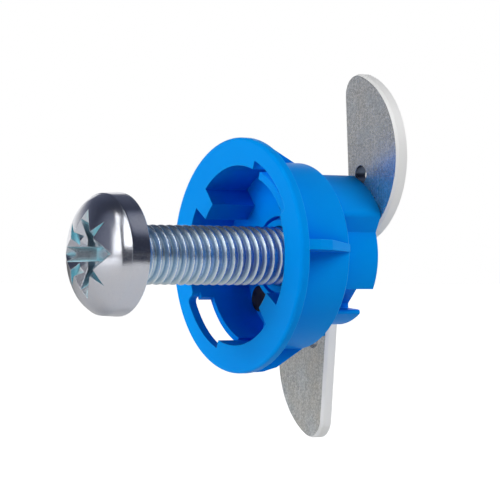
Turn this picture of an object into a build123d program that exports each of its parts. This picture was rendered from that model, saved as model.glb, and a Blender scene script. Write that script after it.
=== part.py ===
from build123d import *
import os
from math import cos, sin, radians

# Self-gripping plasterboard anchor for a 25 mm hole, with its M8 x 30 pan head
# screw part way in. Millimetres. The screw's axis is Y: the flange seats against
# the wall's face on the plane Y = 0, and everything at positive Y is in the wall.
# Angles are measured from +X towards +Z, as seen from the room.

# How far a cut or a foot runs past the surface it meets
overlap = 1.0

# Board hole, and the ring section that fills it
hole_r = 12.5
ring_r = hole_r - 0.05
ring_end = 8.6
ring_edge = 0.25

# Flange
flange_r = hole_r + 3.1
flange_t = 1.2
flange_edge = 0.45

# Cup that the screw head drops into, with two stretches of wall that ramp outwards
cup_r = ring_r - 0.8
cup_wide_r = ring_r - 0.45
cup_wide_from = 70.0
cup_wide_to = 129.5
cup_floor = 5.6

# Two teeth that stop the cup turning round a setting tool
tooth_r = cup_r - 2.78
tooth_from = 129.5
tooth_to = 146.3

# Two windows behind the flange, open to the side and to the front
window_r = ring_r + 0.7
window_from = 26.5
window_to = 70.0
window_lead = 12.0
window_round = 0.6
window_wall_from = 28.5
window_end = 1.95

# Two deeper pockets for the rivet heads, each with a narrower tail
pocket_floor = 8.2
pocket_r = 5.95
pocket_from = 20.0
pocket_to = 70.0
tail_r = 7.1
tail_width = 2.3
tail_from = 60.0
tail_to = 80.0

# Groove that sets off the hub's own rim round the screw
groove_r = 5.3
groove_w = 0.5
groove_depth = 0.9

# Rear barrel: a hub, two lobes that carry the pivots, and two hooked slots
barrel_end = 15.4
hub_r = hole_r - 3.3
lobe_r = hole_r - 1.2
lobe_from = 29.0
lobe_to = 73.5
lobe_foot = 13.0
lobe_corner = 0.9
slot_knee = 4.3
slot_root = 2.4
slot_out = hub_r + 2.0
hook_nose = 0.35

# Heights in the lower hooked slot, each a rise from the hub's underside
slot_top_rise = 4.8
slot_shoulder_rise = 2.9
slot_low_rise = 2.3
slot_hook_rise = 1.9
slot_mouth_rise = 1.5
slot_top = slot_top_rise - hub_r
slot_shoulder = slot_shoulder_rise - hub_r
slot_low = slot_low_rise - hub_r
slot_hook = slot_hook_rise - hub_r
slot_mouth = slot_mouth_rise - hub_r

# Four fins that bite into the board
fin_angles = (4.5, 94.5, 184.5, 274.5)
fin_root_w = 1.65
fin_tip_w = 1.0
fin_r = flange_r - 0.15
fin_foot = 0.15
fin_flat = 1.9
fin_knee_r = fin_r - 0.55
fin_knee = 4.1

# Wings: two near half discs, each swinging on a rivet
wing_r = hole_r - 0.8
wing_t = 1.7
wing_gap = 0.05
wing_edge = 0.4
wing_nose_r = 2.7
wing_roll = 0.2
wing_roll_w = 0.45
pivot_x = 0.62 * hole_r
pivot_z = 0.46 * hole_r
poke_x = 0.196 * hole_r
poke_z = 0.274 * hole_r
poke_r = 1.25
open_upper = 86.5
open_lower = 95.6

# Rivets
rivet_r = 1.2
rivet_play = 0.05
rivet_front_r = 1.75
rivet_front_h = 0.5
rivet_rear_r = 1.6
rivet_rear_h = 0.35
rivet_rear_edge = 0.21
rivet_rear_gap = 0.05

# Screw: ISO 7045 proportions for M8, cross recess size 4
screw_r = 3.93
screw_length = 30.0
screw_play = 0.07
head_y = -19.1
head_r = 8.0
head_h = 6.0
head_band = 2.3
head_band_r = 7.82
head_shoulder_r = 7.2
head_shoulder = 3.25
head_mid_r = 5.0
head_mid = 4.8
head_crown_r = 2.8
head_crown = 5.6
tip_bevel = 0.7
recess_w = 2.1
recess_depth = 4.2
recess_mouth_r = 5.2
recess_floor_r = 2.4
recess_taper = 3.0
flare_inner_r = 3.7
flare_outer_r = 9.6
flare_depth = 2.0
flare_scale = 0.455
tick_inner_r = 1.6
tick_outer_r = 5.7
tick_depth = 1.6
tick_rise = 0.5


def station(y):
    """Sketch plane across the screw's axis: local x is X and local y is Z."""
    return Plane(origin=(0, y, 0), x_dir=(1, 0, 0), z_dir=(0, -1, 0))


def polar(r, angle):
    return (r * cos(radians(angle)), r * sin(radians(angle)))


def sector(inner, outer, start, stop):
    """Sketch of a ring sector between two radii and two angles."""
    middle = (start + stop) / 2
    with BuildSketch() as face:
        with BuildLine():
            Line(polar(inner, start), polar(outer, start))
            ThreePointArc(polar(outer, start), polar(outer, middle), polar(outer, stop))
            Line(polar(outer, stop), polar(inner, stop))
            ThreePointArc(polar(inner, stop), polar(inner, middle), polar(inner, start))
        make_face()
    return face.sketch


def ramp(inner, low, high, start, stop):
    """Sketch of a ring sector whose outer edge falls from the high radius to the low one."""
    middle = (start + stop) / 2
    with BuildSketch() as face:
        with BuildLine():
            Line(polar(inner, start), polar(high, start))
            ThreePointArc(polar(high, start), polar((low + high) / 2, middle), polar(low, stop))
            Line(polar(low, stop), polar(inner, stop))
            ThreePointArc(polar(inner, stop), polar(inner, middle), polar(inner, start))
        make_face()
    return face.sketch


def star(inner, outer, first):
    """Sketch of a four-pointed star with its first point at an angle."""
    with BuildSketch() as face:
        with BuildLine():
            points = [polar(inner if turn % 2 else outer, first + 45 * turn) for turn in range(8)]
            Polyline(*points, close=True)
        make_face()
    return face.sketch


def both(sketch):
    """The sketch and its copy half a turn round the axis."""
    return [sketch, sketch.rotate(Axis.Z, 180)]


def tapering_fin(angle):
    """One fin: a slab with a sloping crest, wider at the flange than at its rear end."""
    inside = ring_r - fin_foot
    with BuildPart() as fin:
        with BuildSketch(Plane.XY):
            with BuildLine():
                Polyline(
                    (inside, -flange_t / 2),
                    (fin_r, -flange_t / 2),
                    (fin_r, fin_flat),
                    (fin_knee_r, fin_knee),
                    (ring_r, ring_end),
                    (inside, ring_end),
                    close=True,
                )
            make_face()
        extrude(amount=fin_root_w / 2, both=True)
        with BuildSketch(Plane(origin=(0, 0, 0), x_dir=(0, 1, 0), z_dir=(1, 0, 0))):
            with BuildLine():
                Polyline(
                    (-flange_t, -fin_tip_w / 2),
                    (-flange_t, fin_root_w - fin_tip_w / 2),
                    (0, fin_root_w - fin_tip_w / 2),
                    (ring_end, fin_tip_w / 2),
                    (ring_end, -fin_tip_w / 2),
                    close=True,
                )
            make_face()
        extrude(amount=fin_r + overlap, mode=Mode.INTERSECT)
    return fin.part.rotate(Axis.Y, -angle)


# Moulded body
with BuildPart() as body:
    with BuildSketch(station(-flange_t)):
        Circle(flange_r)
    extrude(amount=-flange_t)
    fillet(body.edges().group_by(Axis.Y)[0], radius=flange_edge)
    with BuildSketch(station(0)):
        Circle(ring_r)
    extrude(amount=-ring_end)
    chamfer(body.edges().group_by(Axis.Y)[-1], length=ring_edge)
    for fin_angle in fin_angles:
        add(tapering_fin(fin_angle))

    # Rear barrel with its two lobes
    with BuildSketch(station(ring_end)) as barrel:
        Circle(hub_r)
        with BuildSketch(mode=Mode.PRIVATE) as lobe:
            with BuildLine():
                Line(polar(hub_r - overlap, lobe_foot), polar(lobe_r, lobe_from))
                ThreePointArc(
                    polar(lobe_r, lobe_from),
                    polar(lobe_r, (lobe_from + lobe_to) / 2),
                    polar(lobe_r, lobe_to),
                )
                Line(polar(lobe_r, lobe_to), polar(hub_r - overlap, lobe_to))
                Line(polar(hub_r - overlap, lobe_to), polar(hub_r - overlap, lobe_foot))
            make_face()
            fillet(lobe.vertices().sort_by(Axis.X)[-1], radius=lobe_corner)
        for side in both(lobe.sketch):
            add(side)
        with BuildSketch(mode=Mode.PRIVATE) as hook_slot:
            with BuildLine():
                Polyline(
                    (slot_out, slot_top),
                    (slot_knee, slot_top),
                    (slot_root, slot_shoulder),
                    (slot_root, slot_low),
                    (slot_out, slot_mouth),
                    close=True,
                )
            make_face()
        for side in both(hook_slot.sketch):
            add(side, mode=Mode.SUBTRACT)
        hook_tip = ((hub_r**2 - slot_hook**2) ** 0.5, slot_hook)
        hook_twin = (-hook_tip[0], -hook_tip[1])
        tips = [barrel.vertices().sort_by_distance(tip)[0] for tip in (hook_tip, hook_twin)]
        fillet(tips, radius=hook_nose)
    extrude(amount=-(barrel_end - ring_end))

    # Cup, with a tooth left standing on each side
    with BuildSketch(station(-flange_t)):
        Circle(cup_r)
        for side in both(ramp(cup_r - overlap, cup_r, cup_wide_r, cup_wide_from, cup_wide_to)):
            add(side)
        for side in both(sector(tooth_r, cup_wide_r + overlap, tooth_from, tooth_to)):
            add(side, mode=Mode.SUBTRACT)
    extrude(amount=-(flange_t + cup_floor), mode=Mode.SUBTRACT)

    # Windows: wide in the flange, with a rounded lead-in, then out through the wall behind it
    with BuildSketch(mode=Mode.PRIVATE) as window:
        add(sector(cup_r - overlap, cup_r, window_from - window_lead, window_to))
        add(sector(cup_r - overlap, window_r, window_from, window_to))
        corners = (polar(cup_r, window_from), polar(window_r, window_from))
        rounded = [window.vertices().sort_by_distance(corner)[0] for corner in corners]
        fillet(rounded, radius=window_round)
    with BuildSketch(station(-flange_t)):
        for side in both(window.sketch):
            add(side)
    extrude(amount=-flange_t, mode=Mode.SUBTRACT)
    with BuildSketch(station(0)):
        for side in both(sector(cup_r - overlap, window_r, window_wall_from, window_to)):
            add(side)
    extrude(amount=-window_end, mode=Mode.SUBTRACT)

    # Pockets for the rivet heads
    with BuildSketch(station(cup_floor)):
        for side in both(sector(pocket_r, cup_r, pocket_from, pocket_to)):
            add(side)
        with BuildSketch(mode=Mode.PRIVATE) as tail:
            SlotArc(CenterArc((0, 0), tail_r, tail_from, tail_to - tail_from), tail_width)
        for side in both(tail.sketch):
            add(side)
    extrude(amount=-(pocket_floor - cup_floor), mode=Mode.SUBTRACT)

    # Groove, screw hole and rivet holes
    with BuildSketch(station(cup_floor)):
        Circle(groove_r)
        Circle(groove_r - groove_w, mode=Mode.SUBTRACT)
    extrude(amount=-groove_depth, mode=Mode.SUBTRACT)
    with BuildSketch(station(cup_floor)):
        Circle(screw_r + screw_play)
    extrude(amount=-(barrel_end - cup_floor), mode=Mode.SUBTRACT)
    with BuildSketch(station(pocket_floor)):
        with Locations((pivot_x, pivot_z), (-pivot_x, -pivot_z)):
            Circle(rivet_r)
    extrude(amount=-(barrel_end - pocket_floor), mode=Mode.SUBTRACT)

# Wing, drawn folded away: the upper half of a disc behind the barrel
wing_front = barrel_end + wing_gap
heel_r = pivot_z - wing_edge
with BuildPart() as folded_wing:
    with BuildSketch(station(wing_front)) as folded_wing_sketch:
        Circle(wing_r)
        with Locations((0, wing_edge)):
            Rectangle(4 * wing_r, 2 * wing_r, align=(Align.CENTER, Align.MAX), mode=Mode.SUBTRACT)
        with BuildSketch(mode=Mode.PRIVATE) as heel:
            with Locations((pivot_x, pivot_z)):
                Rectangle(wing_r, wing_r, align=(Align.MIN, Align.MAX))
                Circle(heel_r, mode=Mode.SUBTRACT)
        add(heel.sketch, mode=Mode.SUBTRACT)
        fillet(folded_wing_sketch.vertices().sort_by(Axis.X)[0], radius=wing_nose_r)
        with Locations((pivot_x, pivot_z)):
            Circle(rivet_r + rivet_play, mode=Mode.SUBTRACT)
        with Locations((poke_x, poke_z)):
            Circle(poke_r, mode=Mode.SUBTRACT)
    extrude(amount=-wing_t)
    front = folded_wing.faces().sort_by(Axis.Y)[0]
    chamfer(front.outer_wire().edges(), length=wing_roll, length2=wing_roll_w, reference=front)

upper_pivot = Axis((pivot_x, 0, pivot_z), (0, 1, 0))
lower_pivot = Axis((-pivot_x, 0, -pivot_z), (0, 1, 0))
wing_upper = folded_wing.part.rotate(upper_pivot, open_upper)
wing_lower = folded_wing.part.rotate(Axis.Y, 180).rotate(lower_pivot, open_lower)

# Rivet: a head in the pocket, a shank through the lobe and a head behind the wing
rivet_front = pocket_floor - rivet_front_h
rivet_rear = wing_front + wing_t + rivet_rear_gap
with BuildPart() as rivet:
    with BuildSketch(station(rivet_front)):
        with Locations((pivot_x, pivot_z)):
            Circle(rivet_front_r)
    extrude(amount=-rivet_front_h)
    with BuildSketch(station(rivet_front)):
        with Locations((pivot_x, pivot_z)):
            Circle(rivet_r)
    extrude(amount=-(rivet_rear - rivet_front))
    with BuildSketch(station(rivet_rear)):
        with Locations((pivot_x, pivot_z)):
            Circle(rivet_rear_r)
    extrude(amount=-rivet_rear_h)
    fillet(rivet.edges().group_by(Axis.Y)[-1], radius=rivet_rear_edge)

# Screw: the thread is drawn at its crest size
with BuildPart() as screw:
    with BuildSketch(Plane.XY):
        with BuildLine():
            Polyline(
                (0, head_y + screw_length),
                (screw_r - tip_bevel, head_y + screw_length),
                (screw_r, head_y + screw_length - tip_bevel),
                (screw_r, head_y),
                (head_r, head_y),
                (head_band_r, head_y - head_band),
            )
            Spline(
                (head_band_r, head_y - head_band),
                (head_shoulder_r, head_y - head_shoulder),
                (head_mid_r, head_y - head_mid),
                (head_crown_r, head_y - head_crown),
                (0, head_y - head_h),
                tangents=((-0.25, -1), (-1, 0)),
            )
            Line((0, head_y - head_h), (0, head_y + screw_length))
        make_face()
    revolve(axis=Axis.Y)

    # Cross recess: straight-sided arms that end on a cone
    head_top = head_y - head_h
    with BuildPart(mode=Mode.PRIVATE) as recess:
        with BuildSketch(station(head_top)):
            Rectangle(2 * recess_mouth_r, recess_w)
            Rectangle(recess_w, 2 * recess_mouth_r)
        extrude(amount=-recess_depth, taper=recess_taper)
        with BuildSketch(station(head_top)):
            Circle(recess_mouth_r)
        with BuildSketch(station(head_top + recess_depth)):
            Circle(recess_floor_r)
        loft(mode=Mode.INTERSECT)
    add(recess.part, mode=Mode.SUBTRACT)

    # Its flared mouth: a star that narrows with depth, with its points along the arms
    with BuildPart(mode=Mode.PRIVATE) as flare:
        with BuildSketch(station(head_top)):
            add(star(flare_inner_r, flare_outer_r, 0))
        with BuildSketch(station(head_top + flare_depth)):
            add(star(flare_scale * flare_inner_r, flare_scale * flare_outer_r, 0))
        loft(ruled=True)
    add(flare.part, mode=Mode.SUBTRACT)

    # Four stamped ticks between the arms: a second star with a conical floor
    with BuildPart(mode=Mode.PRIVATE) as ticks:
        with BuildSketch(station(head_top)):
            add(star(tick_inner_r, tick_outer_r, 45))
        extrude(amount=-tick_depth)
        with BuildSketch(Plane.XY):
            with BuildLine():
                Polyline(
                    (0, head_top),
                    (tick_outer_r, head_top),
                    (tick_outer_r, head_top + tick_depth),
                    (0, head_top + tick_depth - tick_rise),
                    close=True,
                )
            make_face()
        revolve(axis=Axis.Y, mode=Mode.INTERSECT)
    add(ticks.part, mode=Mode.SUBTRACT)

body.part.label = "anchor_body"
wing_upper.label = "wing_upper"
wing_lower.label = "wing_lower"
rivet_upper = rivet.part
rivet_lower = rivet.part.rotate(Axis.Y, 180)
rivet_upper.label = "rivet_upper"
rivet_lower.label = "rivet_lower"
screw.part.label = "screw"

os.makedirs("parts", exist_ok=True)
export_step(body.part, "parts/anchor_body.step")
export_step(wing_upper, "parts/wing_upper.step")
export_step(wing_lower, "parts/wing_lower.step")
export_step(rivet_upper, "parts/rivet_upper.step")
export_step(rivet_lower, "parts/rivet_lower.step")
export_step(screw.part, "parts/screw.step")
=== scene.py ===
from math import cos, pi, radians, sin

import bmesh
import bpy
from mathutils import Matrix, Vector


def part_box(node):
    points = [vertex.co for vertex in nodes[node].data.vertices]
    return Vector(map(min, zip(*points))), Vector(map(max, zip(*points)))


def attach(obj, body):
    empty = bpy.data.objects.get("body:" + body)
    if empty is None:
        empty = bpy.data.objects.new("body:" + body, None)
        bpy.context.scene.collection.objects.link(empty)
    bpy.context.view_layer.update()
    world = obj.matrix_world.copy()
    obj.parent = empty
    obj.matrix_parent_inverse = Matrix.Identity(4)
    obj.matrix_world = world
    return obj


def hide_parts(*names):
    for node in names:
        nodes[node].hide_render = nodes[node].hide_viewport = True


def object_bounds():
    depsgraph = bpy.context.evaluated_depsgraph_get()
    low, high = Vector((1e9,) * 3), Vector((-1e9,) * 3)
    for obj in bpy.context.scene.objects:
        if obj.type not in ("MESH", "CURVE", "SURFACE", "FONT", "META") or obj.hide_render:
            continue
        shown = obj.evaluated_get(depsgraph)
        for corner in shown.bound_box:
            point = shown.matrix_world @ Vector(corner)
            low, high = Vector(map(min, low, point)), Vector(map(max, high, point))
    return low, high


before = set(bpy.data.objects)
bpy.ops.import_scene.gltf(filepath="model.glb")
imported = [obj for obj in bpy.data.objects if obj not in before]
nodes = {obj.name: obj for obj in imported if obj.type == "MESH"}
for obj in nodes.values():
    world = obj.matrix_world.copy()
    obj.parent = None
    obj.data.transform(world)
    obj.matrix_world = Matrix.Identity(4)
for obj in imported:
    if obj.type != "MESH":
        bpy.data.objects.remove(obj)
cad_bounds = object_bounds()

# ---------------------------------------------------------------------------
# Anchor body: one moulding of glossy blue plastic. It holds the two rivets in
# its lobes and the screw in its hub, and its rim and fins are left as moulded,
# with slightly rounded edges.
# ---------------------------------------------------------------------------
blue_deep = (0.0, 0.25, 0.78, 1)
blue_pale = (0.0, 0.29, 0.84, 1)
# deeper blue painted into hollows as shade
blue_painted_shade = (0.0, 0.18, 0.76, 1)
# paler cyan painted along the edges as a highlight
blue_painted_highlight = (0.03, 0.44, 0.98, 1)
blue_speckle_scale = 5000.0
blue_drift_scale = 160.0
blue_highlight_gain = 0.8
blue_highlight_most = 0.7
blue_shade_reach = 0.008
blue_shine = (0.05, 0.62, 1, 1)
blue_shine_level = 0.07
blue_rough = (0.30, 0.42)
blue_dent_strength = 0.12
blue_dent_depth = 0.00004
blue_seen_into = 0.1
blue_seen_into_depths = (0.0003, 0.0006, 0.001)
plastic_ior = 1.5
moulded_edge_r = 0.00013
edge_mask_gain = 4.0
open_above = 0.95
full_shade_below = 0.5


def new_group(name, inputs, outputs):
    """An empty shader node group with named float inputs and named outputs."""
    group = bpy.data.node_groups.new(name, "ShaderNodeTree")
    for label, value in inputs:
        socket = group.interface.new_socket(name=label, in_out="INPUT", socket_type="NodeSocketFloat")
        socket.default_value = value
    for label, kind in outputs:
        group.interface.new_socket(name=label, in_out="OUTPUT", socket_type=kind)
    group.nodes.new("NodeGroupInput")
    group.nodes.new("NodeGroupOutput")
    return group


def node(tree, kind, **given):
    """Adds a node; the words are its inputs, as numbers, colours or other nodes' sockets."""
    made = tree.nodes.new(kind)
    for label, value in given.items():
        socket = made.inputs[label.replace("_", " ")]
        if isinstance(value, bpy.types.NodeSocket):
            tree.links.new(value, socket)
        else:
            socket.default_value = value
    return made


def sums(tree, operation, first, second=0.0):
    """A Math node's result; each input is a number or a socket."""
    made = tree.nodes.new("ShaderNodeMath")
    made.operation = operation
    for place, value in enumerate((first, second)):
        if isinstance(value, bpy.types.NodeSocket):
            tree.links.new(value, made.inputs[place])
        else:
            made.inputs[place].default_value = value
    return made.outputs[0]


def soft_specks():
    """Group: a fine even speckle and a broad slow drift, as on any made surface."""
    group = new_group(
        "soft_specks",
        [("Fine scale", 4000.0), ("Broad scale", 200.0), ("Across", 1.0), ("Up", 1.0)],
        [("Fine", "NodeSocketFloat"), ("Broad", "NodeSocketFloat")],
    )
    given = group.nodes["Group Input"].outputs
    made = group.nodes["Group Output"].inputs
    place = node(group, "ShaderNodeTexCoord").outputs["Object"]
    squeeze = node(group, "ShaderNodeCombineXYZ", X=1.0, Y=given["Across"], Z=given["Up"])
    spread = node(group, "ShaderNodeVectorMath")
    spread.operation = "MULTIPLY"
    group.links.new(place, spread.inputs[0])
    group.links.new(squeeze.outputs["Vector"], spread.inputs[1])
    for label, detail in (("Fine", 3.0), ("Broad", 2.0)):
        noise = node(
            group, "ShaderNodeTexNoise", Vector=spread.outputs[0],
            Scale=given[label + " scale"], Detail=detail,
        )
        group.links.new(noise.outputs["Fac"], made[label])
    return group


def rounded_edges():
    """Group: the normal and mask of an edge that is rounded over a small radius."""
    group = new_group(
        "rounded_edges",
        [("Radius", 0.0002)],
        [("Normal", "NodeSocketVector"), ("Edge", "NodeSocketFloat")],
    )
    given = group.nodes["Group Input"].outputs
    made = group.nodes["Group Output"].inputs
    bevel = node(group, "ShaderNodeBevel", Radius=given["Radius"])
    bevel.samples = 6
    true_normal = node(group, "ShaderNodeNewGeometry").outputs["True Normal"]
    alike = node(group, "ShaderNodeVectorMath")
    alike.operation = "DOT_PRODUCT"
    group.links.new(bevel.outputs["Normal"], alike.inputs[0])
    group.links.new(true_normal, alike.inputs[1])
    turned_away = sums(group, "SUBTRACT", 1.0, alike.outputs["Value"])
    edge = sums(group, "MULTIPLY", turned_away, edge_mask_gain)
    group.links.new(bevel.outputs["Normal"], made["Normal"])
    group.links.new(edge, made["Edge"])
    return group


def hollow_shade_mask():
    """Group: a mask for painted shade, 0 on open faces, towards 1 down in grooves and sockets."""
    group = new_group("hollow_shade_mask", [("Reach", 0.001)], [("Painted shade", "NodeSocketFloat")])
    given = group.nodes["Group Input"].outputs
    made = group.nodes["Group Output"].inputs
    open_sky = node(group, "ShaderNodeAmbientOcclusion", Distance=given["Reach"])
    open_sky.samples = 8
    open_sky.only_local = True
    hollow_shade = node(
        group, "ShaderNodeMapRange", Value=open_sky.outputs["AO"],
        From_Min=open_above, From_Max=full_shade_below,
    )
    group.links.new(hollow_shade.outputs["Result"], made["Painted shade"])
    return group


SPECKS = soft_specks()
EDGES = rounded_edges()
HOLLOW_SHADE = hollow_shade_mask()


def new_finish(name):
    """A material with an empty node tree and its Principled shader."""
    finish = bpy.data.materials.new(name)
    finish.use_nodes = True
    return finish, finish.node_tree, finish.node_tree.nodes["Principled BSDF"]


def place_group(tree, group, **given):
    """Puts a node group in a material with its own values."""
    made = tree.nodes.new("ShaderNodeGroup")
    made.node_tree = group
    for label, value in given.items():
        made.inputs[label.replace("_", " ")].default_value = value
    return made.outputs


def between(tree, share, low, high):
    """A value that goes from low to high as share goes from 0 to 1."""
    made = node(tree, "ShaderNodeMapRange", Value=share, To_Min=low, To_Max=high)
    return made.outputs["Result"]


def blended(tree, share, first, second):
    """A colour that goes from the first to the second with share; each may be a socket."""
    made = tree.nodes.new("ShaderNodeMix")
    made.data_type = "RGBA"
    tree.links.new(share, made.inputs["Factor"])
    for place, colour in ((6, first), (7, second)):
        if isinstance(colour, bpy.types.NodeSocket):
            tree.links.new(colour, made.inputs[place])
        else:
            made.inputs[place].default_value = colour
    return made.outputs[2]


def use_finish(piece, finish):
    """Gives the whole piece one finish."""
    piece.data.materials.clear()
    piece.data.materials.append(finish)


def moulded_blue():
    """Blue plastic: a deeper blue in hollows as painted shade, and paler along its moulded edges as a
    painted highlight.
    """
    finish, tree, shader = new_finish("moulded_blue_plastic")
    specks = place_group(
        tree, SPECKS, Fine_scale=blue_speckle_scale, Broad_scale=blue_drift_scale
    )
    edges = place_group(tree, EDGES, Radius=moulded_edge_r)
    colour = blended(tree, specks["Broad"], blue_deep, blue_pale)
    hollow_shade = place_group(tree, HOLLOW_SHADE, Reach=blue_shade_reach)["Painted shade"]
    # Painted shade: a deeper blue down in the hollows.
    colour = blended(tree, hollow_shade, colour, blue_painted_shade)
    # Painted highlight: a paler cyan along the rounded moulded edges.
    rounding_and_sheen = sums(tree, "MULTIPLY", edges["Edge"], blue_highlight_gain)
    rounding_and_sheen = sums(tree, "MINIMUM", rounding_and_sheen, blue_highlight_most)
    tree.links.new(blended(tree, rounding_and_sheen, colour, blue_painted_highlight), shader.inputs["Base Color"])
    tree.links.new(between(tree, specks["Fine"], *blue_rough), shader.inputs["Roughness"])
    bump = node(
        tree, "ShaderNodeBump", Strength=blue_dent_strength, Distance=blue_dent_depth,
        Height=specks["Fine"], Normal=edges["Normal"],
    )
    tree.links.new(bump.outputs["Normal"], shader.inputs["Normal"])
    shader.inputs["IOR"].default_value = plastic_ior
    shader.inputs["Specular IOR Level"].default_value = blue_shine_level
    shader.inputs["Specular Tint"].default_value = blue_shine
    shader.inputs["Subsurface Weight"].default_value = blue_seen_into
    shader.inputs["Subsurface Radius"].default_value = blue_seen_into_depths
    shader.inputs["Subsurface Scale"].default_value = 1.0
    return finish


use_finish(nodes["anchor_body"], moulded_blue())

# ---------------------------------------------------------------------------
# Wings: two alike blanks of zinc plated sheet steel. Each is stamped out, with
# the rolling grain along its length, and swings on its rivet behind the body.
# ---------------------------------------------------------------------------
zinc_shade_warm = (0.60, 0.56, 0.48, 1)
zinc_shade_cool = (0.48, 0.54, 0.60, 1)
zinc_pale_warm = (0.92, 0.87, 0.78, 1)
zinc_pale_cool = (0.82, 0.88, 0.92, 1)
punched_upper = (0.0051, 0.0109)
punched_lower = (-0.00595, -0.01125)
punched_r = 0.0014
# near black painted as shade on the upper punched hole's wall
punched_hole_painted_shade = (0.10, 0.13, 0.19, 1)
zinc_cut = (0.9, 0.9, 0.89, 1)
zinc_grain_scale = 3200.0
zinc_mottle_scale = 3800.0
zinc_drift_scale = 260.0
zinc_rough = (0.16, 0.36)
cut_edge_from = 0.15
cut_edge_to = 0.6
cut_rougher = 0.3
face_and_cut_metal = (0.92, 0.25)
grain_share = 0.25
mottle_share = 0.75
mottle_from = 0.36
mottle_to = 0.64
rolled_flat = 0.12
wing_edge_r = 0.00012
wing_dent_strength = 0.35
wing_dent_depth = 0.00003


def sheared_edge(tree):
    """1 on the thin cut edges of a sheet that lies across Y, 0 on its two faces."""
    normal = node(tree, "ShaderNodeNewGeometry").outputs["True Normal"]
    facing = node(tree, "ShaderNodeSeparateXYZ", Vector=normal).outputs["Y"]
    aside = sums(tree, "SUBTRACT", 1.0, sums(tree, "ABSOLUTE", facing))
    edge = node(
        tree, "ShaderNodeMapRange", Value=aside, From_Min=cut_edge_from, From_Max=cut_edge_to
    )
    return edge.outputs["Result"]


def near_axis(tree, place, reach):
    """1 within a reach of an axis along Y through a place in X and Z, 0 beyond it."""
    there = node(tree, "ShaderNodeTexCoord").outputs["Object"]
    apart = node(tree, "ShaderNodeVectorMath")
    apart.operation = "DISTANCE"
    flat = node(tree, "ShaderNodeSeparateXYZ", Vector=there).outputs
    level = node(tree, "ShaderNodeCombineXYZ", X=flat["X"], Z=flat["Z"])
    tree.links.new(level.outputs["Vector"], apart.inputs[0])
    apart.inputs[1].default_value = (place[0], 0, place[1])
    return sums(tree, "LESS_THAN", apart.outputs["Value"], reach)


def plated_sheet():
    """Zinc plated sheet: mottled grey faces with a grain, pale cut edges, and painted shade on the wall
    of the upper wing's punched hole.
    """
    finish, tree, shader = new_finish("zinc_plated_sheet")
    grain = place_group(tree, SPECKS, Fine_scale=zinc_grain_scale, Up=rolled_flat)
    mottle = place_group(
        tree, SPECKS, Fine_scale=zinc_mottle_scale, Broad_scale=zinc_drift_scale
    )
    edges = place_group(tree, EDGES, Radius=wing_edge_r)
    edge = sheared_edge(tree)
    # Painted shade: the upper wing's punched hole wall is made near black; the lower hole keeps the
    # face finish.
    punched_shade = sums(tree, "MULTIPLY", edge, near_axis(tree, punched_upper, punched_r))
    smooth = sums(tree, "MULTIPLY", edge, near_axis(tree, punched_lower, punched_r))
    cut = sums(tree, "SUBTRACT", edge, sums(tree, "ADD", punched_shade, smooth))
    grained = sums(tree, "MULTIPLY", grain["Fine"], grain_share)
    mottled = sums(tree, "MULTIPLY", mottle["Fine"], mottle_share)
    share = sums(tree, "ADD", grained, mottled)
    sharper = node(
        tree, "ShaderNodeMapRange", Value=share, From_Min=mottle_from, From_Max=mottle_to
    ).outputs["Result"]
    shade = blended(tree, mottle["Broad"], zinc_shade_warm, zinc_shade_cool)
    pale = blended(tree, mottle["Broad"], zinc_pale_warm, zinc_pale_cool)
    face = blended(tree, sharper, shade, pale)
    tinted = blended(tree, cut, face, zinc_cut)
    tree.links.new(blended(tree, punched_shade, tinted, punched_hole_painted_shade), shader.inputs["Base Color"])
    rough = between(tree, mottle["Broad"], *zinc_rough)
    rough = sums(tree, "ADD", rough, sums(tree, "MULTIPLY", cut, cut_rougher))
    tree.links.new(rough, shader.inputs["Roughness"])
    tree.links.new(between(tree, cut, *face_and_cut_metal), shader.inputs["Metallic"])
    bump = node(
        tree, "ShaderNodeBump", Strength=wing_dent_strength, Distance=wing_dent_depth,
        Height=share, Normal=edges["Normal"],
    )
    tree.links.new(bump.outputs["Normal"], shader.inputs["Normal"])
    return finish


sheet_finish = plated_sheet()
for wing in ("wing_upper", "wing_lower"):
    use_finish(nodes[wing], sheet_finish)

# ---------------------------------------------------------------------------
# Rivets: two plain steel rivets, one through each lobe and wing, set cold from
# behind. Only a dark head shows at the bottom of each pocket; its near black is
# painted shade.
# ---------------------------------------------------------------------------
rivet_brown = (0.34, 0.22, 0.12, 1)
rivet_painted_shade = (0.05, 0.04, 0.035, 1)
rivet_speckle_scale = 6000.0
rivet_drift_scale = 900.0
rivet_rough = (0.35, 0.55)
rivet_edge_r = 0.0001


def plain_steel():
    """Bare steel, brown, mixed at random with a near black that is painted shade."""
    finish, tree, shader = new_finish("plain_rivet_steel")
    specks = place_group(
        tree, SPECKS, Fine_scale=rivet_speckle_scale, Broad_scale=rivet_drift_scale
    )
    edges = place_group(tree, EDGES, Radius=rivet_edge_r)
    # Near black mixed in as painted shade of the deep pocket.
    tree.links.new(blended(tree, specks["Broad"], rivet_brown, rivet_painted_shade), shader.inputs["Base Color"])
    tree.links.new(between(tree, specks["Fine"], *rivet_rough), shader.inputs["Roughness"])
    tree.links.new(edges["Normal"], shader.inputs["Normal"])
    shader.inputs["Metallic"].default_value = 1.0
    return finish


rivet_finish = plain_steel()
for rivet in ("rivet_upper", "rivet_lower"):
    use_finish(nodes[rivet], rivet_finish)

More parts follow.
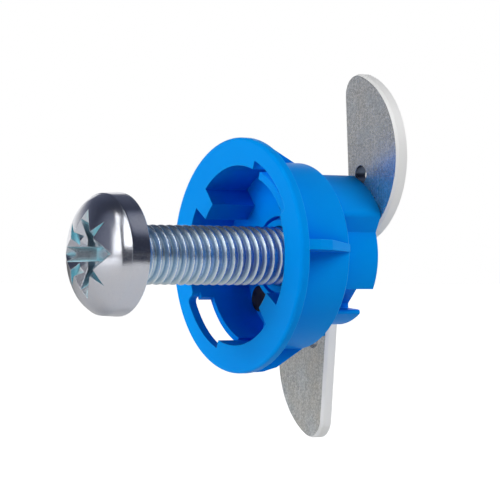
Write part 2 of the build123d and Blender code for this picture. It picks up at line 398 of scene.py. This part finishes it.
# ---------------------------------------------------------------------------
# Screw: M8 pan head machine screw, cold headed, thread rolled and plated with
# bright zinc, standing in the hub. The head is turned, then its recess is cut.
# The shank is a core with a right-handed ridge that fades out at the tip.
# ---------------------------------------------------------------------------
screw_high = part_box("screw")[1]
screw_length = 0.03
head_underside = screw_high.y - screw_length
head_height = 0.006
head_steps = 150
head_turn = 1.1
head_outline_parts = 4
head_profile = (
    (0.00800, 0.0),
    (0.00800, 0.0003),
    (0.00790, 0.0023),
    (0.00778, 0.00262),
    (0.00752, 0.00305),
    (0.00722, 0.00345),
    (0.00685, 0.0038),
    (0.00600, 0.00436),
    (0.00500, 0.00484),
    (0.00390, 0.00528),
    (0.00280, 0.00562),
    (0.00150, 0.0059),
)
recess_half_w = 0.00105
recess_mouth_r = 0.0052
recess_floor_r = 0.0024
recess_depth = 0.0042
recess_narrowing = 0.00022
flare_radii = (0.0096, 0.0037)
flare_depth = 0.002
flare_scale = 0.455
tick_radii = (0.0057, 0.0016)
tick_depth = 0.0016
tick_rise = 0.0005
cutter_lift = 0.0004
thread_pitch = 0.00125
thread_depth = 0.00055
thread_crest_r = 0.00393
thread_root_r = thread_crest_r - thread_depth
thread_crest_w = 0.00019
thread_root_gap = 0.00025
thread_sink = 0.00015
thread_round = 0.00016
thread_start = 0.0004
thread_turns = (screw_high.y - head_underside - thread_start) / thread_pitch
thread_steps_a_turn = 56
thread_corner_points = 4
core_steps = 64
core_into_head = 0.0002
tip_bevel = 0.00035
screw_warm = (0.72, 0.71, 0.74, 1)
screw_cool = (0.66, 0.70, 0.78, 1)
# teal painted in the head's hollows as shade and blue reflection
screw_hollow_painted_blue = (0.52, 0.84, 0.92, 1)
screw_freckle = (0.50, 0.50, 0.62, 1)
# paler base on the shank, painted light
thread_painted_light = (0.84, 0.93, 0.97, 1)
# darker blue painted in the thread's valleys as shade and blue reflection
thread_valley_painted_shade = (0.27, 0.47, 0.66, 1)
screw_shade_reach = 0.0012
thread_shade_share = 0.85
screw_speckle_scale = 6500.0
screw_drift_scale = 420.0
thread_streak_scale = 4600.0
freckle_from = 0.54
freckle_to = 0.74
freckle_most = 0.55
screw_edge_r = 0.0001
screw_rough = (0.08, 0.30)
thread_rougher = 0.02
hollow_rougher = 0.2
thread_streaks = 1.5
streaks_across = 0.12
head_and_thread_dents = (0.18, 0.8)
screw_dent_depth = 0.00003
shank_finish_from = 0.0001
sharp_from = 20


def plain_mesh(piece):
    """The piece's evaluated form as a plain mesh, with its modifiers gone."""
    evaluated = piece.evaluated_get(bpy.context.evaluated_depsgraph_get())
    mesh = bpy.data.meshes.new_from_object(evaluated)
    piece.modifiers.clear()
    piece.data = mesh
    return mesh


def eased(a, b, c, d, t):
    """The value a share t of the way from b to c, on a smooth run through a, b, c and d."""
    bend = 2 * a - 5 * b + 4 * c - d
    twist = 3 * b - a - 3 * c + d
    return 0.5 * (2 * b + (c - a) * t + bend * t**2 + twist * t**3)


def smooth_outline(points, parts):
    """A rounder run of points through the given ones, with each gap cut into parts."""
    ends = [points[0]] + list(points) + [points[-1]]
    run = []
    for four in zip(ends, ends[1:], ends[2:], ends[3:]):
        for part in range(parts):
            run.append(tuple(eased(*values, part / parts) for values in zip(*four)))
    return run + [points[-1]]


def solid_between(upper, lower, middle=0.0):
    """A closed solid between two outlines round the axis; middle lifts the lower one's centre."""
    skin = bmesh.new()
    rings = [[skin.verts.new(point) for point in outline] for outline in (upper, lower)]
    centres = [skin.verts.new((0, upper[0][1], 0)), skin.verts.new((0, lower[0][1] - middle, 0))]
    count = len(upper)
    for i in range(count):
        j = (i + 1) % count
        skin.faces.new((rings[0][i], rings[0][j], rings[1][j]))
        skin.faces.new((rings[0][i], rings[1][j], rings[1][i]))
        for ring, centre in zip(rings, centres):
            skin.faces.new((ring[i], ring[j], centre))
    bmesh.ops.recalc_face_normals(skin, faces=skin.faces)
    return skin


def as_object(name, skin):
    """A scene object that holds a skin."""
    mesh = bpy.data.meshes.new(name)
    skin.to_mesh(mesh)
    skin.free()
    made = bpy.data.objects.new(name, mesh)
    bpy.context.scene.collection.objects.link(made)
    return made


def star_outline(radii, level, scale, first):
    """Points of a four-pointed star across the screw's axis at a level."""
    points = []
    for i in range(8):
        reach = scale * radii[i % 2]
        turn = radians(first + 45 * i)
        points.append((reach * cos(turn), level, reach * sin(turn)))
    return points


def recess_cutters():
    """The solids that the cross recess, its flared mouth and its four ticks take away."""
    top = head_underside - head_height
    above = top - cutter_lift
    cutters = []
    steeper = 1 + cutter_lift / recess_depth
    mouth = recess_floor_r + (recess_mouth_r - recess_floor_r) * steeper
    corners = ((-1, -1), (1, -1), (1, 1), (-1, 1))
    for across in (0, 1):
        outlines = []
        for level, length, width in (
            (above, mouth, recess_half_w),
            (top + recess_depth, recess_floor_r, recess_half_w - recess_narrowing),
        ):
            wide, high = (width, length) if across else (length, width)
            outlines.append([(i * wide, level, k * high) for i, k in corners])
        cutters.append(solid_between(*outlines))
    wider = 1 + (1 - flare_scale) * cutter_lift / flare_depth
    flare_mouth = star_outline(flare_radii, above, wider, 0)
    flare_floor = star_outline(flare_radii, top + flare_depth, flare_scale, 0)
    cutters.append(solid_between(flare_mouth, flare_floor))
    tick_mouth = star_outline(tick_radii, above, 1, 45)
    tick_floor = star_outline(tick_radii, top + tick_depth, 1, 45)
    cutters.append(solid_between(tick_mouth, tick_floor, tick_rise))
    return [as_object("recess_cutter", cutter) for cutter in cutters]


def turn_about_screw(skin, outline, steps):
    """Turns an outline of radii and levels about the screw's axis, into the skin."""
    points = [skin.verts.new((r, y, 0)) for r, y in outline]
    lines = [skin.edges.new(pair) for pair in zip(points, points[1:])]
    bmesh.ops.spin(
        skin, geom=points + lines, axis=(0, 1, 0), cent=(0, 0, 0),
        angle=2 * pi, steps=steps, use_merge=True,
    )
    bmesh.ops.remove_doubles(skin, verts=skin.verts, dist=1e-7)
    bmesh.ops.recalc_face_normals(skin, faces=skin.faces)


def screw_head():
    """The head as a turned solid with its recess cut in, closed at the underside."""
    skin = bmesh.new()
    run = smooth_outline(head_profile, head_outline_parts)
    side = [(r, head_underside - y) for r, y in run]
    outline = [(0, head_underside)] + side + [(0, head_underside - head_height)]
    turn_about_screw(skin, outline, head_steps)
    turned = Matrix.Rotation(radians(head_turn), 3, "Y")
    bmesh.ops.rotate(skin, verts=skin.verts, cent=(0, 0, 0), matrix=turned)
    blank = as_object("head_blank", skin)
    cutters = recess_cutters()
    for cutter in cutters:
        cut = blank.modifiers.new("recess", "BOOLEAN")
        cut.object = cutter
        cut.solver = "EXACT"
    mesh = plain_mesh(blank)
    skin = bmesh.new()
    skin.from_mesh(mesh)
    for used in [blank] + cutters:
        bpy.data.objects.remove(used)
    return skin


def add_core(skin):
    """Adds the thread's core to the skin: a plain shank from inside the head to the tip."""
    inner_end = head_underside - core_into_head
    outline = (
        (0, inner_end),
        (thread_root_r, inner_end),
        (thread_root_r, screw_high.y - tip_bevel),
        (thread_root_r - tip_bevel, screw_high.y),
        (0, screw_high.y),
    )
    turn_about_screw(skin, outline, core_steps)
    return skin


def wound_thread():
    """Geometry tree: winds a trapezoid ridge round the core and joins it to the piece."""
    tree = bpy.data.node_groups.new("wound_thread", "GeometryNodeTree")
    new_socket = tree.interface.new_socket
    new_socket(name="Piece", in_out="INPUT", socket_type="NodeSocketGeometry")
    lengths = ("Foot radius", "Depth", "Foot width", "Crest width", "Rounding", "Length", "Start")
    for label in lengths + ("Turns",):
        new_socket(name=label, in_out="INPUT", socket_type="NodeSocketFloat")
    new_socket(name="Steps", in_out="INPUT", socket_type="NodeSocketInt")
    new_socket(name="Finish", in_out="INPUT", socket_type="NodeSocketMaterial")
    new_socket(name="Mesh", in_out="OUTPUT", socket_type="NodeSocketGeometry")
    given = tree.nodes.new("NodeGroupInput").outputs

    line = node(tree, "GeometryNodeCurvePrimitiveLine")
    points = node(tree, "GeometryNodeResampleCurve", Curve=line.outputs["Curve"], Count=given["Steps"])
    along = node(tree, "GeometryNodeSplineParameter").outputs["Factor"]
    turn = sums(tree, "MULTIPLY", along, given["Turns"])
    angle = sums(tree, "MULTIPLY", turn, 2 * pi)
    across = sums(tree, "MULTIPLY", sums(tree, "COSINE", angle), given["Foot radius"])
    upward = sums(tree, "MULTIPLY", sums(tree, "SINE", angle), given["Foot radius"])
    onward = sums(tree, "MULTIPLY", along, given["Length"])
    place = node(tree, "ShaderNodeCombineXYZ", X=across, Y=upward, Z=onward)
    helix = node(
        tree, "GeometryNodeSetPosition",
        Geometry=points.outputs["Curve"], Position=place.outputs["Vector"],
    )
    upright = node(tree, "GeometryNodeSetCurveNormal", Curve=helix.outputs["Geometry"])
    upright.mode = "Z_UP"

    left = sums(tree, "SUBTRACT", given["Turns"], turn)
    fade_out = sums(tree, "MINIMUM", left, 1.0)
    ridge = node(tree, "GeometryNodeCurvePrimitiveQuadrilateral", Height=given["Depth"])
    ridge.mode = "TRAPEZOID"
    tree.links.new(given["Foot width"], ridge.inputs["Bottom Width"])
    tree.links.new(given["Crest width"], ridge.inputs["Top Width"])
    ridge.inputs["Offset"].default_value = 0.0
    rounding_and_sheen = node(tree, "GeometryNodeFilletCurve", Curve=ridge.outputs["Curve"], Radius=given["Rounding"])
    rounding_and_sheen.mode = "POLY"
    rounding_and_sheen.inputs["Count"].default_value = thread_corner_points
    rounding_and_sheen.inputs["Limit Radius"].default_value = True
    half_up = node(tree, "ShaderNodeCombineXYZ", X=sums(tree, "MULTIPLY", given["Depth"], 0.5))
    stood = node(
        tree, "GeometryNodeTransform",
        Geometry=rounding_and_sheen.outputs["Curve"], Translation=half_up.outputs["Vector"],
    )
    stood.inputs["Rotation"].default_value = (0, 0, -pi / 2)
    swept = node(
        tree, "GeometryNodeCurveToMesh", Curve=upright.outputs["Curve"],
        Profile_Curve=stood.outputs["Geometry"], Scale=fade_out, Fill_Caps=True,
    )
    start = node(tree, "ShaderNodeCombineXYZ", Y=given["Start"])
    laid = node(
        tree, "GeometryNodeTransform",
        Geometry=swept.outputs["Mesh"], Translation=start.outputs["Vector"],
    )
    laid.inputs["Rotation"].default_value = (-pi / 2, 0, 0)
    joined = tree.nodes.new("GeometryNodeJoinGeometry")
    tree.links.new(given["Piece"], joined.inputs["Geometry"])
    tree.links.new(laid.outputs["Geometry"], joined.inputs["Geometry"])
    real = node(tree, "GeometryNodeRealizeInstances", Geometry=joined.outputs["Geometry"])
    finish = node(
        tree, "GeometryNodeSetMaterial",
        Geometry=real.outputs["Geometry"], Material=given["Finish"],
    )
    made = tree.nodes.new("NodeGroupOutput")
    tree.links.new(finish.outputs["Geometry"], made.inputs["Mesh"])
    return tree


def rear_of(tree, level):
    """1 on the wall's side of a level along the screw, 0 on the room's side."""
    there = node(tree, "ShaderNodeTexCoord").outputs["Object"]
    along = node(tree, "ShaderNodeSeparateXYZ", Vector=there).outputs["Y"]
    return sums(tree, "GREATER_THAN", along, level)


def bright_zinc():
    """Bright zinc: freckled on the head and streaked on the thread, with painted shade and a painted
    blue reflection in the hollows, and a paler shank as painted light.
    """
    finish, tree, shader = new_finish("bright_zinc_screw")
    specks = place_group(
        tree, SPECKS, Fine_scale=screw_speckle_scale, Broad_scale=screw_drift_scale
    )
    edges = place_group(tree, EDGES, Radius=screw_edge_r)
    behind = rear_of(tree, head_underside - shank_finish_from)
    hollow_shade = place_group(tree, HOLLOW_SHADE, Reach=screw_shade_reach)["Painted shade"]
    hollow_shade = sums(tree, "MULTIPLY", hollow_shade, between(tree, behind, 1.0, thread_shade_share))
    freckles = node(
        tree, "ShaderNodeMapRange", Value=specks["Fine"],
        From_Min=freckle_from, From_Max=freckle_to, To_Max=freckle_most,
    ).outputs["Result"]
    drift = blended(tree, specks["Broad"], screw_warm, screw_cool)
    freckled = blended(tree, freckles, drift, screw_freckle)
    # Painted light: the shank's base is paler than the head's.
    whole = blended(tree, behind, freckled, thread_painted_light)
    # Painted shade and painted blue reflection down in the head's recess and the thread's valleys.
    shade_colour = blended(tree, behind, screw_hollow_painted_blue, thread_valley_painted_shade)
    tree.links.new(blended(tree, hollow_shade, whole, shade_colour), shader.inputs["Base Color"])
    streaks = place_group(
        tree, SPECKS, Fine_scale=thread_streak_scale, Across=streaks_across
    )["Fine"]
    streaked = sums(tree, "MULTIPLY", behind, sums(tree, "MULTIPLY", streaks, thread_streaks))
    height = sums(tree, "ADD", specks["Fine"], streaked)
    rougher = sums(
        tree, "ADD",
        sums(tree, "MULTIPLY", behind, thread_rougher),
        sums(tree, "MULTIPLY", hollow_shade, hollow_rougher),
    )
    rough = sums(tree, "ADD", between(tree, specks["Fine"], *screw_rough), rougher)
    tree.links.new(rough, shader.inputs["Roughness"])
    strength = between(tree, behind, *head_and_thread_dents)
    bump = node(
        tree, "ShaderNodeBump", Strength=strength, Distance=screw_dent_depth,
        Height=height, Normal=edges["Normal"],
    )
    tree.links.new(bump.outputs["Normal"], shader.inputs["Normal"])
    shader.inputs["Metallic"].default_value = 1.0
    return finish


def set_input(modifier, label, value):
    """Sets one named input of a geometry modifier."""
    sockets = modifier.node_group.interface.items_tree
    key = next(s.identifier for s in sockets if s.name == label and s.in_out == "INPUT")
    modifier[key] = value


screw_piece = as_object("screw_with_thread", add_core(screw_head()))
winding = screw_piece.modifiers.new("wound_thread", "NODES")
winding.node_group = wound_thread()
set_input(winding, "Foot radius", thread_root_r - thread_sink)
set_input(winding, "Depth", thread_depth + thread_sink)
set_input(winding, "Foot width", thread_pitch - thread_root_gap + thread_sink)
set_input(winding, "Rounding", thread_round)
set_input(winding, "Crest width", thread_crest_w)
set_input(winding, "Turns", thread_turns)
set_input(winding, "Length", thread_turns * thread_pitch)
set_input(winding, "Start", head_underside + thread_start)
set_input(winding, "Steps", round(thread_turns * thread_steps_a_turn))
set_input(winding, "Finish", bright_zinc())
screw_mesh = plain_mesh(screw_piece)
for face in screw_mesh.polygons:
    face.use_smooth = True
screw_mesh.set_sharp_from_angle(angle=radians(sharp_from))
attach(screw_piece, "screw")
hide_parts("screw")

# ---------------------------------------------------------------------------
# Studio: a pale floor below the part and a white surround. Two square soft
# lamps stand in front, and to the side and above. A dark tent with a few soft
# panels, open towards the backdrop, gives the metal something to reflect.
# ---------------------------------------------------------------------------
floor_drop = 0.02
floor_size = 40.0
surround_light = 0.03
lamp_distance = 0.6
lamp_side = 0.4
front_power = 3.6
side_power = 2.9
tent_radius = 1.1
tent_dark = 0.06
tent_shade = (0.5, 0.6, 1, 1)
tent_floor = -0.06
tent_open_from = 0.9
table_reach = 0.18
table_edge_lift = 0.001
table_edge_from = -60
table_edge_to = 75
table_edge_steps = 48
tent_segments = 64
tent_rings = 32
open_glow_from = -0.05
open_glow_to = 0.95
overhead_from = 0.05
overhead_to = 0.5
overhead_dimming = 0.9
# Upright panels: azimuth, half width, lowest and highest elevation in degrees; strength
upright_panels = ((-79, 12, -8, 62, 1.6), (-34, 16, 12, 68, 2.4))
# Round glows: azimuth and elevation in degrees; cosines where each starts and is full; strength
round_glows = ((52, 46, 0.86, 0.99, 0.36), (-96, 24, 0.82, 0.97, 0.22))
panel_softness = 3.0
faint_glow_gain = 1.8
white = (1, 1, 1, 1)
floor_pale = (0.84, 0.84, 0.84, 1)
floor_paler = (0.86, 0.86, 0.86, 1)
floor_rough = 0.9
floor_speckle_scale = 60.0
floor_drift_scale = 2.0
floor_near = 0.1
floor_far = 0.5
floor_near_glow = 0.6
backdrop_way = Vector((-0.835, 0.549, 0))


def compass(azimuth, elevation):
    """The direction at an angle round from +X and an angle up, in degrees."""
    flat = cos(radians(elevation))
    return Vector((flat * cos(radians(azimuth)), flat * sin(radians(azimuth)), sin(radians(elevation))))


front_way = compass(-98, 10)
side_way = compass(28, 42)


def studio_floor():
    """A broad pale floor, white to the camera, a little greyer close to the part."""
    side = floor_size / 2
    height = cad_bounds[0][2] - floor_drop
    signs = ((-1, -1), (1, -1), (1, 1), (-1, 1))
    corners = [(i * side, k * side, height) for i, k in signs]
    mesh = bpy.data.meshes.new("studio_floor")
    mesh.from_pydata(corners, [], [(0, 1, 2, 3)])
    piece = bpy.data.objects.new("studio_floor", mesh)
    bpy.context.scene.collection.objects.link(piece)
    finish, tree, shader = new_finish("pale_floor")
    specks = place_group(
        tree, SPECKS, Fine_scale=floor_speckle_scale, Broad_scale=floor_drift_scale
    )
    pale = blended(tree, specks["Broad"], floor_pale, floor_paler)
    tree.links.new(pale, shader.inputs["Base Color"])
    shader.inputs["Roughness"].default_value = floor_rough
    seen = node(tree, "ShaderNodeLightPath").outputs["Is Camera Ray"]
    spot = node(tree, "ShaderNodeTexCoord").outputs["Object"]
    away = node(tree, "ShaderNodeVectorMath")
    away.operation = "LENGTH"
    tree.links.new(spot, away.inputs[0])
    lift = node(
        tree, "ShaderNodeMapRange", Value=away.outputs["Value"],
        From_Min=floor_near, From_Max=floor_far, To_Min=floor_near_glow, To_Max=1.0,
    )
    shader.inputs["Emission Color"].default_value = white
    seen_white = sums(tree, "MULTIPLY", seen, lift.outputs["Result"])
    tree.links.new(seen_white, shader.inputs["Emission Strength"])
    mesh.materials.append(finish)


def reflected_only(name, skin):
    """Puts a skin on the stage that shows only in reflections; returns its material tree."""
    piece = as_object(name, skin)
    finish = bpy.data.materials.new(name)
    finish.use_nodes = True
    finish.node_tree.nodes.clear()
    piece.data.materials.append(finish)
    piece.visible_camera = False
    piece.visible_diffuse = False
    piece.visible_shadow = False
    return finish.node_tree


def glowing(tree, strength):
    """An even glow, bluer where it is faint."""
    brightness = sums(tree, "MULTIPLY", strength, faint_glow_gain)
    colour = blended(tree, sums(tree, "MINIMUM", brightness, 1.0), tent_shade, white)
    glow = node(tree, "ShaderNodeEmission", Color=colour, Strength=strength)
    shown = tree.nodes.new("ShaderNodeOutputMaterial")
    tree.links.new(glow.outputs["Emission"], shown.inputs["Surface"])


def toward(tree, way, low, high):
    """0 to 1 as a point of the tent comes round to a direction, from one cosine to another."""
    place = node(tree, "ShaderNodeTexCoord").outputs["Object"]
    facing = node(tree, "ShaderNodeVectorMath")
    facing.operation = "DOT_PRODUCT"
    tree.links.new(place, facing.inputs[0])
    facing.inputs[1].default_value = way / tent_radius
    made = node(tree, "ShaderNodeMapRange", Value=facing.outputs["Value"], From_Min=low, From_Max=high)
    made.interpolation_type = "SMOOTHSTEP"
    return made.outputs["Result"]


def strip(tree, azimuth, half_width, low, high):
    """1 in an upright strip of the tent, given by its angles in degrees, with soft edges."""
    place = node(tree, "ShaderNodeTexCoord").outputs["Object"]
    turned = node(tree, "ShaderNodeVectorRotate", Vector=place, Angle=radians(-azimuth))
    turned.rotation_type = "Z_AXIS"
    parts = node(tree, "ShaderNodeSeparateXYZ", Vector=turned.outputs["Vector"]).outputs
    aside = sums(tree, "ABSOLUTE", sums(tree, "ARCTAN2", parts["Y"], parts["X"]))
    raised = sums(tree, "ARCSINE", sums(tree, "MULTIPLY", parts["Z"], 1 / tent_radius))
    soft = panel_softness
    limits = ((aside, half_width, -soft), (raised, low, soft), (raised, high, -soft))
    share = 1.0
    for value, edge, slope in limits:
        step = node(
            tree, "ShaderNodeMapRange", Value=value,
            From_Min=radians(edge - slope), From_Max=radians(edge + slope),
        )
        step.interpolation_type = "SMOOTHSTEP"
        share = sums(tree, "MULTIPLY", step.outputs["Result"], share)
    return share


def dark_tent():
    """A dome round the part, dark but for the backdrop's side and the soft panels in it."""
    dome = bmesh.new()
    bmesh.ops.create_uvsphere(
        dome, u_segments=tent_segments, v_segments=tent_rings, radius=tent_radius
    )
    open_from = tent_open_from * tent_radius
    cut_away = [
        v for v in dome.verts if v.co.z < tent_floor or v.co.dot(backdrop_way) > open_from
    ]
    bmesh.ops.delete(dome, geom=cut_away, context="VERTS")
    tree = reflected_only("dark_tent", dome)
    side = toward(tree, backdrop_way, open_glow_from, open_glow_to)
    above = toward(tree, Vector((0, 0, 1)), overhead_from, overhead_to)
    dimmed = sums(tree, "MULTIPLY", above, overhead_dimming)
    kept_above = sums(tree, "SUBTRACT", 1.0, dimmed)
    side = sums(tree, "MULTIPLY", side, kept_above)
    glow = sums(tree, "ADD", side, tent_dark)
    panels = [(strip(tree, *where), strength) for *where, strength in upright_panels]
    for azimuth, elevation, low, high, strength in round_glows:
        panels.append((toward(tree, compass(azimuth, elevation), low, high), strength))
    for panel, strength in panels:
        glow = sums(tree, "MAXIMUM", glow, sums(tree, "MULTIPLY", panel, strength))
    glowing(tree, glow)


def table_edge():
    """A dark ring round the white table, as far as the tent, open to the backdrop and front lamp."""
    ring = bmesh.new()
    height = cad_bounds[0][2] - floor_drop + table_edge_lift
    span = table_edge_to - table_edge_from
    parts = range(table_edge_steps + 1)
    angles = [radians(table_edge_from + span * i / table_edge_steps) for i in parts]
    rims = []
    for reach in (table_reach, tent_radius):
        rims.append([ring.verts.new((reach * cos(a), reach * sin(a), height)) for a in angles])
    for i in range(table_edge_steps):
        ring.faces.new((rims[0][i], rims[1][i], rims[1][i + 1], rims[0][i + 1]))
    tree = reflected_only("table_edge", ring)
    glowing(tree, tent_dark)


def soft_lamp(name, way, power):
    """A square lamp at a direction, turned towards the part and unseen in reflections."""
    lamp = bpy.data.lights.new(name, "AREA")
    lamp.shape = "RECTANGLE"
    lamp.size = lamp_side
    lamp.size_y = lamp_side
    lamp.energy = power
    holder = bpy.data.objects.new(name, lamp)
    holder.location = way * lamp_distance
    holder.rotation_euler = (-way).to_track_quat("-Z", "Y").to_euler()
    holder.visible_glossy = False
    bpy.context.scene.collection.objects.link(holder)


def white_surround():
    """A world that looks white but lights the part only faintly."""
    world = bpy.data.worlds.new("white_surround")
    world.use_nodes = True
    tree = world.node_tree
    path = node(tree, "ShaderNodeLightPath").outputs
    seen = sums(tree, "MAXIMUM", path["Is Camera Ray"], path["Is Glossy Ray"])
    seen = sums(tree, "MAXIMUM", seen, path["Is Transmission Ray"])
    level = between(tree, seen, surround_light, 1.0)
    backdrop = tree.nodes["Background"]
    backdrop.inputs["Color"].default_value = white
    tree.links.new(level, backdrop.inputs["Strength"])
    bpy.context.scene.world = world


studio_floor()
white_surround()
dark_tent()
table_edge()
soft_lamp("front_lamp", front_way, front_power)
soft_lamp("side_lamp", side_way, side_power)

# ---------------------------------------------------------------------------
# Camera: a long lens level with the screw, to the right of the front.
# ---------------------------------------------------------------------------
camera_azimuth = radians(56.674)
camera_elevation = radians(-0.618)
camera_roll = radians(0.199)
camera_distance = 0.366313
camera_lens = 199.73
camera_sensor = 36.0
aim_right = 0.001941
aim_up = 0.000721
flange_front = Vector((0, -0.0012, 0))


def place_camera():
    """Sets the camera on the flange's front centre, with a small shift aside and up."""
    lens = bpy.data.cameras.new("camera")
    lens.lens = camera_lens
    lens.sensor_width = camera_sensor
    camera = bpy.data.objects.new("camera", lens)
    away = Vector(
        (
            sin(camera_azimuth) * cos(camera_elevation),
            -cos(camera_azimuth) * cos(camera_elevation),
            sin(camera_elevation),
        )
    )
    turned = (-away).to_track_quat("-Z", "Y").to_matrix().to_4x4()
    turned = turned @ Matrix.Rotation(camera_roll, 4, "Z")
    right = turned.to_3x3() @ Vector((1, 0, 0))
    up = turned.to_3x3() @ Vector((0, 1, 0))
    aim = flange_front + right * aim_right + up * aim_up
    camera.matrix_world = Matrix.Translation(aim + away * camera_distance) @ turned
    bpy.context.scene.collection.objects.link(camera)
    bpy.context.scene.camera = camera


place_camera()
bpy.context.scene.view_settings.view_transform = "Standard"
